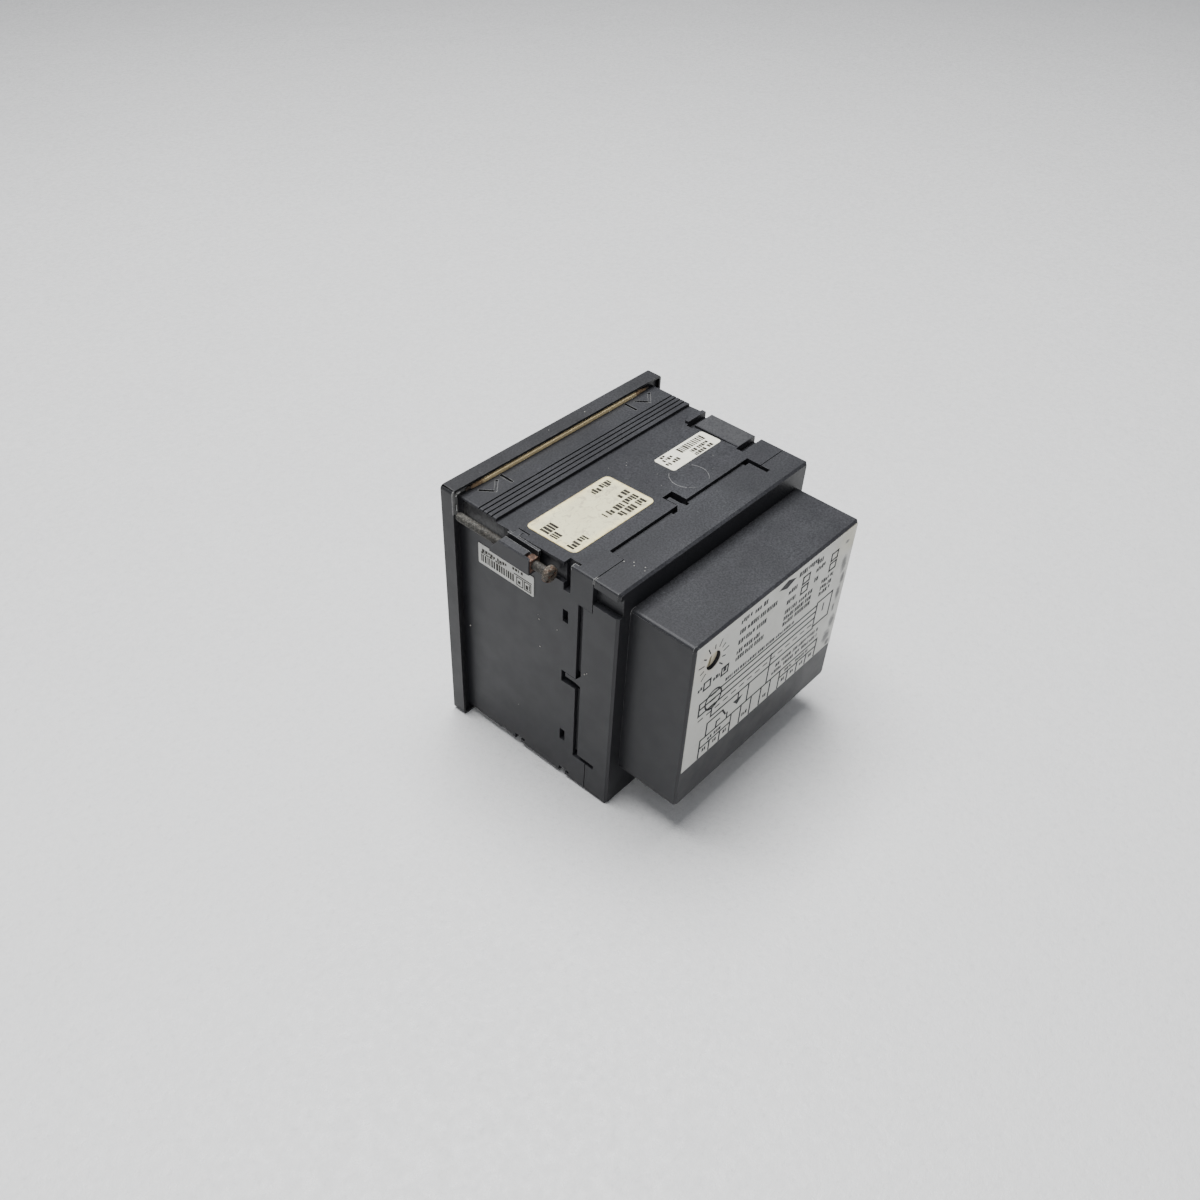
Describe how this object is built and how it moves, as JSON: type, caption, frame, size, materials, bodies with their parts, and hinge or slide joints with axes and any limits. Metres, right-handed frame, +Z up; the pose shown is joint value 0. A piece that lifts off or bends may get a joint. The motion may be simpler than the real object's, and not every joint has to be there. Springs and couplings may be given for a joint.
{
  "type": "insulation monitoring device",
  "caption": "Square panel-mounted insulation monitor: dial behind a window, ribbed case, stepped rear box with terminals, corner clamps and a set-point adjuster.",
  "frame": {"origin": "centre of the panel plane, in the middle of the square rim behind the front frame", "axes": "+Y from the panel plane to the rear of the device, so the dial looks to -Y; +Z up; +X to the left as seen from the rear"},
  "size_m": [0.1002, 0.0916, 0.096],
  "materials": {
    "bezel_black": "satin moulded black",
    "window_clear": "clear polished",
    "gasket_tan": "aged, dull",
    "shroud_black": "matt black",
    "adjuster_black": "semi gloss black",
    "dial_white": "matt white paint",
    "pointer_black": "matt black paint",
    "brass_turned": "turned",
    "staff_steel": "ground",
    "coil_copper": "enamelled copper wire",
    "spring_bronze": "thin bronze strip",
    "movement_alu": "rolled sheet",
    "yoke_iron": "plated soft iron",
    "magnet_dark": "ground magnet alloy",
    "lamp_red": "tinted clear",
    "board_green": "solder mask",
    "case_grey": "satin dark grey, dusty",
    "cover_grey": "satin dark grey, dusty",
    "screw_zinc": "zinc plated",
    "core_steel": "laminated sheet",
    "coil_tape": "wound and taped",
    "relay_blue": "moulded",
    "cap_sleeve": "shrink sleeve",
    "chip_black": "moulded",
    "trimmer_blue": "moulded",
    "rotor_brass": "dull, tarnished",
    "terminal_black": "moulded",
    "cage_metal": "nickel plated",
    "clamp_plastic": "satin, scuffed",
    "nut_rusty": "rusty plated steel",
    "screw_dusty": "dusty, rusting",
    "label_silver": "printed film, soiled",
    "label_cream": "paper, aged",
    "label_white": "paper"
  },
  "bodies": {
    "housing": {"bezel_frame": "bezel_black", "front_window": "window_clear", "gasket_top": "gasket_tan", "gasket_bottom": "gasket_tan", "pivot_shroud": "shroud_black", "dial_plate": "dial_white", "front_bearing": "brass_turned", "rear_bearing": "brass_turned", "hairspring_front": "spring_bronze", "hairspring_rear": "spring_bronze", "front_bridge": "movement_alu", "rear_bridge": "movement_alu", "movement_plate": "movement_alu", "yoke_ring": "yoke_iron", "core_magnet": "magnet_dark", "alarm_lamp": "lamp_red", "lamp_board": "board_green", "main_board": "board_green", "front_case": "case_grey", "rear_cover": "cover_grey", "board_screws": "screw_zinc", "terminal_screws": "screw_zinc", "transformer_core": "core_steel", "transformer_coil": "coil_tape", "output_relay": "relay_blue", "filter_capacitor": "cap_sleeve", "small_capacitors": "cap_sleeve", "logic_chips": "chip_black", "trimmer_body": "trimmer_blue", "terminal_block": "terminal_black", "terminal_cages": "cage_metal", "clamp_body_right": "clamp_plastic", "clamp_body_left": "clamp_plastic", "clamp_nut_right": "nut_rusty", "clamp_nut_left": "nut_rusty", "rear_label": "label_silver", "side_label": "label_silver", "type_label": "label_cream", "top_label": "label_white"},
    "pointer_movement": {"pointer": "pointer_black", "balance_weights": "brass_turned", "pointer_staff": "staff_steel", "moving_coil": "coil_copper"},
    "zero_screw": {"zero_adjuster": "adjuster_black"},
    "trimmer_knob": {"trimmer_rotor": "rotor_brass"},
    "tightening_screw_right": {"clamp_screw_right": "screw_dusty"},
    "tightening_screw_left": {"clamp_screw_left": "screw_dusty"}
  },
  "joints": [
    {"name": "pointer_swing", "type": "hinge", "parent": "housing", "child": "pointer_movement", "pos_m": [0.028, 0, -0.028], "axis": [0, 1, 0], "range_deg": [0, 88], "stiffness_Nm_per_rad": 0.00005, "springref_deg": -2.86},
    {"name": "zero_turn", "type": "hinge", "parent": "housing", "child": "zero_screw", "pos_m": [0.028, 0, -0.028], "axis": [0, 1, 0], "range_deg": [-20, 20]},
    {"name": "set_point_turn", "type": "hinge", "parent": "housing", "child": "trimmer_knob", "pos_m": [0.0302, 0, 0.0263], "axis": [0, 1, 0], "range_deg": [-140, 130]},
    {"name": "clamp_feed_right", "type": "slide", "parent": "housing", "child": "tightening_screw_right", "axis": [0, 1, 0], "range_m": [0, 0.004]},
    {"name": "clamp_feed_left", "type": "slide", "parent": "housing", "child": "tightening_screw_left", "axis": [0, 1, 0], "range_m": [0, 0.004]}
  ]
}
